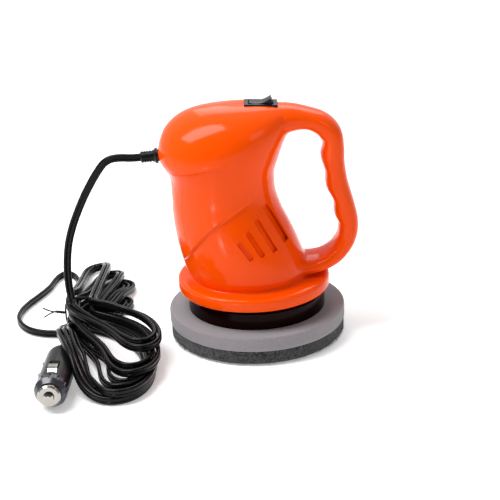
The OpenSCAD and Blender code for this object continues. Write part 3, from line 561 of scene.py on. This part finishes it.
def keep_length(at, rest, free):
    index = np.arange(len(at))
    for odd in (0, 1):
        k = index[odd:len(at) - 1:2]
        d = at[k + 1] - at[k]
        length = np.linalg.norm(d, axis=1)
        fix = d * ((length - rest[k]) / np.maximum(length, 1e-6))[:, None] * 0.5
        at[k] += fix * free[k, None]
        at[k + 1] -= fix * free[k + 1, None]


def keep_outside(at, free):
    """Keeps the lead out of the plug's barrel, inside the tie and on the table."""
    sideways = np.array((PLUG_AXIS[1], -PLUG_AXIS[0]))
    clear_side, clear_top = PLUG_R + 1.5, PLUG_R + 2.8
    from_plug = at[:, :2] - PLUG_END[:2]
    along = from_plug @ PLUG_AXIS
    across = from_plug @ sideways / clear_side
    above = (at[:, 2] - PLUG_END[2]) / clear_top
    inside = np.hypot(across, above)
    inner = (along > -2) & (along < PLUG_REACH) & (inside < 1) & (free > 0)
    grow = np.where(inner, 1 / np.maximum(inside, 0.05), 1) - 1
    at[:, 2] += above * grow * clear_top
    at[:, :2] += np.outer(across * grow * clear_side, sideways)
    tied = (np.abs(at[:, 1] - WAIST.y) < TIE_REACH) & (np.abs(at[:, 0] + 121.5) < 23.5) & (free > 0)
    at[tied, 0] = np.clip(at[tied, 0], WAIST.x - TIE_HALF_W, WAIST.x + TIE_HALF_W)
    at[tied, 2] = np.minimum(at[tied, 2], TIE_TOP - CORD_W / 2)
    at[:, 2] = np.maximum(at[:, 2], CORD_W / 2 + 0.05)


def settle(line, free_from, free_to, rounds=60):
    """Lets the free part of the lead sink, pushes its turns apart and eases its tight bends."""
    at = np.array([tuple(p) for p in line])
    for _ in range(14):                      # rounds off the corners of the table route
        at[1:-1][free_from:free_to] += 0.5 * ((at[:-2] + at[2:]) / 2 - at[1:-1])[free_from:free_to]
    home = at.copy()
    rest = np.linalg.norm(at[1:] - at[:-1], axis=1)
    free = np.zeros(len(line))
    free[free_from:free_to] = 1
    size = np.array((CORD_T + 0.08, CORD_T + 0.08, CORD_W + 0.06))
    for step in range(rounds):
        loose = step <= rounds - 15          # the last rounds only part the turns
        move = np.zeros(at.shape)
        move[:, :2] = (home - at)[:, :2] * (0.012 if loose else 0)
        move[:, 2] = -0.04 if loose else 0
        at += move * free[:, None]
        if step % 8 == 0:
            one, two = near_pairs(at, size)
        for _ in range(2):
            at += push_apart(at, one, two, size) * free[:, None]
        ease_bends(at, free, step % 4 == 3)
        keep_length(at, rest, free)
        keep_outside(at, free)
    for k in range(16):                      # evens out the heights most
        even = 0.5 * ((at[:-2] + at[2:]) / 2 - at[1:-1]) * free[1:-1, None]
        even[:, :2] *= k < 5
        at[1:-1] += even
    return [Vector(p) for p in at]


def make_cord():
    line, lead_end = cord_route()
    half_core, core_r = 1.3, 1.4             # two round cores side by side, joined flat
    outline = [(side * (half_core + core_r * math.cos(a)), side * core_r * math.sin(a))
               for side in (1, -1) for a in (math.radians(d) for d in range(-135, 136, 27))]
    rings = []
    for i, p in enumerate(line):
        h = heading(line, i)
        facing, standing = h.cross(Y), Z - h * Z.dot(h)
        share = min(max((i - lead_end + 8) / 14, 0), 1)
        wide = (facing.normalized() * (1 - share) + standing * share).normalized() if share < 1 else standing
        wide = (wide - h * wide.dot(h)).normalized()
        thin = h.cross(wide)
        rings.append([p + wide * a + thin * b for a, b in outline])
    cord = smooth(loft("cord", rings), 60)
    finish_piece(cord, "housing", "cord_black", "cord_lead", "cord_hank", "cord_tail")
    length = sum((b - a).length for a, b in zip(line, line[1:])) * MM
    return cord, [tuple(p * MM) for p in line], length


def make_tie():
    """Twist tie: a wire loop round the bundle, a twisted stretch and two loose tails."""
    cx, cz, half_w, half_h, squareness = WAIST.x, 12.4, 11.2, 11.7, 0.6
    loop = []
    for k in range(48):
        a = 2 * math.pi * k / 48
        c, s = math.cos(a), math.sin(a)
        loop.append(Vector((cx + half_w * math.copysign(abs(c) ** squareness, c), WAIST.y,
                            cz + half_h * math.copysign(abs(s) ** squareness, s))))
    band = loft("tie_band", tube(loop + [loop[0]], 0.6, 8))
    start, end = Vector((-133, 10, 13.2)), Vector((-140, 10, 14.2))
    pieces = [band]
    for phase, tip in ((0, Vector((-149, 10, 17.4))), (math.pi, Vector((-148.6, 10, 10.2)))):
        line = []
        for k in range(25):
            a = phase + 2 * math.pi * 2.5 * k / 24
            line.append(start.lerp(end, k / 24) + 0.65 * Vector((0, math.cos(a), math.sin(a))))
        line += [line[-1].lerp(tip, t) + Vector((0, 0, math.sin(math.pi * t) * (1 if phase else -1) * 0.5))
                 for t in (0.15, 0.35, 0.6, 0.8, 1)]
        pieces.append(loft("tie_tail", tube(line, 0.5, 8)))
    tie = join("twist_tie_wire", pieces)
    return finish_piece(smooth(tie, 50), "housing", "black_plastic", "twist_tie")


def join(name, pieces):
    """One object holding the meshes of all the pieces."""
    joined = bmesh.new()
    for piece in pieces:
        joined.from_mesh(piece.data)
        bpy.data.objects.remove(piece)
    mesh = bpy.data.meshes.new(name)
    joined.to_mesh(mesh)
    joined.free()
    obj = bpy.data.objects.new(name, mesh)
    bpy.context.scene.collection.objects.link(obj)
    return obj


cord, cord_path, cord_length = make_cord()
tie = make_tie()


# ---------- housing ----------

def body_rings(inset, steps, sides):
    rings = []
    for share, left, right, depth in smooth_rows(BODY_ROWS, steps):
        x0, x1, deep = left + inset, right - inset, max(depth - inset, 1)
        z = BODY_BASE + share * (BODY_H - inset)
        rings.append([((x0 + x1) / 2 + (x1 - x0) / 2 * math.cos(a), deep * math.sin(a), z)
                      for a in (2 * math.pi * k / sides for k in range(sides))])
    return rings


def handle_rings(inset, steps, sides):
    rows = smooth_rows(HANDLE_ROWS, steps)
    spine = [Vector((r[0], 0, BODY_BASE + r[1] * BODY_H)) for r in rows]
    rings = []
    for i, r in enumerate(rows):
        inward = Y.cross(heading(spine, i))
        on_grip = GRIP_FROM <= i / steps <= GRIP_TO
        wave = FINGER_WAVE * math.cos(math.radians(360 * (spine[i].z - 125) / WAVE_PITCH)) if on_grip else 0
        ring = []
        for k in range(sides):
            c, s = math.cos(2 * math.pi * k / sides), math.sin(2 * math.pi * k / sides)
            thick = r[2] - inset + (wave if c > 0 else 0)
            ring.append(spine[i] + inward * thick * math.copysign(abs(c) ** 0.8, c)
                        + Y * (r[3] - inset) * math.copysign(abs(s) ** 0.8, s))
        rings.append(ring)
    return rings


def ring_solid():
    edge = 2.6
    arc = [(RING_R - edge + edge * math.cos(a), RING_H - edge + edge * math.sin(a))
           for a in (math.pi / 2 * k / 8 for k in range(9))]
    profile = [(0, 0), (RING_R - 0.8, 0), (RING_R, 0.8)] + arc
    profile += [(RING_R - 6, RING_H - 0.3), (0, RING_H - 0.3)]
    return lathe("ring", profile, 160, (RING_X, 0, RING_BOTTOM))


def press_step(points, line, depth, fade):
    """Sinks the side below a line, sharply at the line and fading away from it."""
    x, z, y = points[:, 0], points[:, 2], points[:, 1]
    best = np.full(len(points), 1e9)
    signed = np.zeros(len(points))
    along = np.zeros(len(points))
    for i, (a, b) in enumerate(zip(line, line[1:])):
        a, b = np.array(a, float), np.array(b, float)
        d = b - a
        t = np.clip(((x - a[0]) * d[0] + (z - a[1]) * d[1]) / (d @ d), 0, 1)
        dx, dz = x - a[0] - t * d[0], z - a[1] - t * d[1]
        dist = np.hypot(dx, dz)
        side = np.sign(d[0] * dz - d[1] * dx)
        nearer = dist < best
        best = np.where(nearer, dist, best)
        signed = np.where(nearer, dist * side, signed)
        along = np.where(nearer, (i + t) / (len(line) - 1), along)
    below = -signed * np.sign(line[-1][0] - line[0][0])
    rise = np.clip(below / 0.9 + 0.5, 0, 1)
    amount = depth * rise * rise * (3 - 2 * rise) * np.exp(-np.maximum(below, 0) / fade)
    ends = np.clip(np.minimum(along, 1 - along) * 8, 0, 1)
    return amount * ends * np.clip((np.abs(y) - 2) / 8, 0, 1)


def housing_skin():
    """The outside of the housing as one blended skin, with its moulded edges pressed in."""
    skin = loft("skin", body_rings(0, 8, 120))
    boolean(skin, loft("handle", handle_rings(0, 10, 40)), "UNION")
    boolean(skin, ring_solid(), "UNION")
    modify(skin, "REMESH", mode="VOXEL", voxel_size=0.75 * MM)
    modify(skin, "SMOOTH", factor=0.5, iterations=8)
    soften = skin.vertex_groups.new(name="junctions")
    for v in skin.data.vertices:
        near = max(1 - math.hypot(v.co.x / MM - x, v.co.z / MM - z) / reach for x, z, reach in JUNCTIONS)
        if near > 0:
            soften.add([v.index], min(1, 1.8 * near), "REPLACE")
    modify(skin, "SMOOTH", factor=0.5, iterations=90, vertex_group="junctions")
    mesh = skin.data
    count = len(mesh.vertices)
    points, normals = np.zeros(count * 3), np.zeros(count * 3)
    mesh.vertices.foreach_get("co", points)
    mesh.vertices.foreach_get("normal", normals)
    points, normals = points.reshape(-1, 3) / MM, normals.reshape(-1, 3)
    sink = press_step(points, SHOULDER_LINE, 1.0, 16) + press_step(points, FLANK_LINE, 1.1, 18)
    points -= normals * sink[:, None]
    mesh.vertices.foreach_set("co", (points * MM).ravel())
    mesh.update()
    return skin


def spot(s):
    return Vector((s[0], 0, BODY_BASE + s[1] * BODY_H))


def housing_half(skin, side, name):
    """One moulded half: the skin less its hollow, its vents and the seats of the switch and the lead."""
    half = twin(skin, name)
    hollow = loft("hollow", body_rings(WALL, 3, 60))
    boolean(hollow, loft("handle_hollow", handle_rings(WALL, 4, 24)), "UNION")
    for s in SCREW_SPOTS:
        boolean(hollow, cylinder("post", spot(s) + Y * side * 0.3, spot(s) + Y * side * 60, 3.6))
    boolean(half, hollow)
    boolean(half, cylinder("ring_hollow", (RING_X, 0, RING_BOTTOM - 1), (RING_X, 0, PLATE_TOP),
                           RING_R - WALL, 160))
    boolean(half, cylinder("ring_hole", (MOTOR_X, 0, RING_BOTTOM), (MOTOR_X, 0, RING_BOTTOM + RING_H + 0.5),
                           RING_HOLE_R, 120))
    for (x0, z0), (x1, z1) in VENT_SLOTS:
        run = Vector((x1 - x0, 0, z1 - z0))
        place = Matrix.Translation((x0 + run.x / 2, side * 14, z0 + run.z / 2)) \
            @ Matrix.Rotation(math.atan2(run.x, run.z), 4, "Y") @ Matrix.Rotation(-side * math.pi / 2, 4, "X")
        vent = prism("vent", rounded_outline(VENT_W, run.length, 0.7), place, 0, 72)
        boolean(half, boolean(vent, loft("vent_floor", body_rings(WALL - VENT_FLOOR, 4, 60))))
    seat = Matrix.Translation(SWITCH_AT) @ Matrix.Rotation(SWITCH_TILT, 4, "Y")
    boolean(half, prism("bezel_seat", rounded_outline(BEZEL_L + 0.2, BEZEL_W + 0.2, 0.9), seat, 0, 12))
    boolean(half, prism("switch_hole", rounded_outline(BEZEL_L - 2.6, BEZEL_W - 1.8, 0.5), seat, -20, 1))
    out = Matrix.Rotation(-math.pi / 2 - RELIEF_TILT, 3, "Y") @ Z
    boolean(half, cylinder("relief_hole", RELIEF_AT - out * 8, RELIEF_AT + out * 4, 4.06))
    boolean(half, cylinder("relief_seat", RELIEF_AT, RELIEF_AT + out * 12, 5.4))
    for s in SCREW_SPOTS:
        boolean(half, cylinder("screw_hole", spot(s) + Y * side * 0.15, spot(s) + Y * side * 7.6,
                               1.7 if side > 0 else 1.4))
        if side > 0:
            boolean(half, cylinder("counterbore", spot(s) + Y * 6, spot(s) + Y * 66, 3))
    near_y, far_y = (GAP, 100) if side > 0 else (-100, -GAP)
    boolean(half, box("half_space", (-100, near_y, 0), (100, far_y, 200)), "INTERSECT")
    return smooth(half, 32)


skin = housing_skin()
finish_piece(housing_half(skin, -1, "shell_front"), "housing", "orange", "housing_front")
finish_piece(housing_half(skin, 1, "shell_rear"), "housing", "orange", "housing_rear")
bpy.data.objects.remove(skin)


# ---------- switch ----------

ROCKER_HALF_L, ROCKER_CROWN, ROCKER_W, ROCKER_REST, PIVOT_H = 7.2, 3.25, 10.2, math.radians(12), 1


def rounded(obj, width, segments=3, angle=40):
    return modify(obj, "BEVEL", width=width * MM, segments=segments, limit_method="ANGLE",
                  angle_limit=math.radians(angle))


def make_switch():
    seat = Matrix.Translation(SWITCH_AT) @ Matrix.Rotation(SWITCH_TILT, 4, "Y")
    reach = math.hypot(ROCKER_HALF_L, ROCKER_CROWN)
    bezel = rounded(prism("bezel", rounded_outline(BEZEL_L, BEZEL_W, 0.9), seat, 0, BEZEL_H), 0.4)
    boolean(bezel, prism("case", rounded_outline(BEZEL_L - 2.8, BEZEL_W - 2, 0.4), seat, -14, 0.3), "UNION")
    boolean(bezel, prism("window", rounded_outline(2 * reach + 0.8, ROCKER_W + 0.8, 0.5), seat, -7.5, 12))
    finish_piece(smooth(bezel), "housing", "black_plastic", "switch_body")

    hub = seat @ Matrix.Translation((0, 0, PIVOT_H)) @ Matrix.Rotation(-ROCKER_REST, 4, "Y") \
        @ Matrix.Rotation(math.pi / 2, 4, "X")
    corner, foot = math.atan2(ROCKER_CROWN, ROCKER_HALF_L), math.asin(3.5 / reach)
    right = [(reach * math.cos(a), reach * math.sin(a)) for a in
             (-foot + (corner + foot) * k / 6 for k in range(7))]
    dip = [(x, 1.5 + (ROCKER_CROWN - 1.5) * (x / ROCKER_HALF_L) ** 2) for x in
           (ROCKER_HALF_L * (1 - k / 8) for k in range(1, 16))]
    left = [(-x, z) for x, z in reversed(right)]
    rocker = rounded(prism("rocker", right + dip + left, hub, -ROCKER_W / 2, ROCKER_W / 2), 0.35)
    finish_piece(smooth(rocker, 40), "rocker", "black_plastic", "switch_rocker")


make_switch()


# ---------- pad ----------

def foam_ripple(depth, scale):
    """Small uneven in-and-out of a cut foam surface."""
    def move(p):
        n = noise.noise(p * scale) + 0.5 * noise.noise(p * scale * 2.7)
        return p + Vector((p.x, p.y, 0)).normalized() * n * depth
    return move


def arc(cx, cz, r, a0, a1, steps):
    return [(cx + r * math.cos(math.radians(a0 + (a1 - a0) * k / steps)),
             cz + r * math.sin(math.radians(a0 + (a1 - a0) * k / steps))) for k in range(steps + 1)]


def make_foam():
    r, round_r = PAD_R - 0.25, 1.0
    low, high = SPONGE_H + 0.05, PAD_TOP
    profile = [(0, low), (r - 12, low)] + arc(r - round_r, low + 0.6, 0.6, -90, 0, 3)
    profile += [(r + 0.05 * math.sin(math.pi * k / 8), low + 0.6 + (high - low - 1.6) * k / 8)
                for k in range(1, 8)]
    profile += arc(r - round_r, high - round_r, round_r, 0, 90, 5) + [(k, high) for k in range(56, 11, -4)]
    profile += [(9.5, high), (9.5, low + 1), (0, low + 1)]
    foam = smooth(lathe("foam_disc", profile, 360, ripple=foam_ripple(0.12, 0.35)), 60)
    return finish_piece(foam, "pad", "foam_grey", "foam_pad")


def make_sponge():
    r, edge = PAD_R - SPONGE_INSET - 0.2, 3.6
    profile = [(0, 0), (20, 0), (40, 0), (51, 0)] + arc(r - edge, edge, edge, -90, 0, 8)
    profile += [(r, edge + (SPONGE_H - 0.4 - edge) * k / 6) for k in range(1, 7)]
    profile += [(r - 1, SPONGE_H), (30, SPONGE_H), (0, SPONGE_H)]
    sponge = lathe("sponge_disc", profile, 480, ripple=foam_ripple(0.3, 0.8))
    points, faces = [], []
    for _ in range(8000):        # short fibres that stand out of the cut side
        a, z = rng.uniform(0, 2 * math.pi), rng.uniform(0.4, SPONGE_H - 0.3)
        root = Vector((math.cos(a) * (r - 0.5), math.sin(a) * (r - 0.5), z))
        out = Vector((math.cos(a), math.sin(a), rng.uniform(-0.9, 0.7))).normalized()
        tip = root + out * rng.uniform(0.7, 1.55)
        tip.z = max(tip.z, 0.05)
        side = Vector((-math.sin(a), math.cos(a), 0)) * 0.11
        base = len(points)
        points += [root + side, root - side, root + Vector((0, 0, 0.18)), tip]
        faces += [(base, base + 1, base + 3), (base + 1, base + 2, base + 3), (base + 2, base, base + 3),
                  (base, base + 2, base + 1)]
    sponge = join("sponge_disc_fuzzy", [sponge, mesh_piece("fibres", points, faces)])
    return finish_piece(smooth(sponge, 50), "pad", "sponge_dark", "sponge_face")


make_foam()
make_sponge()
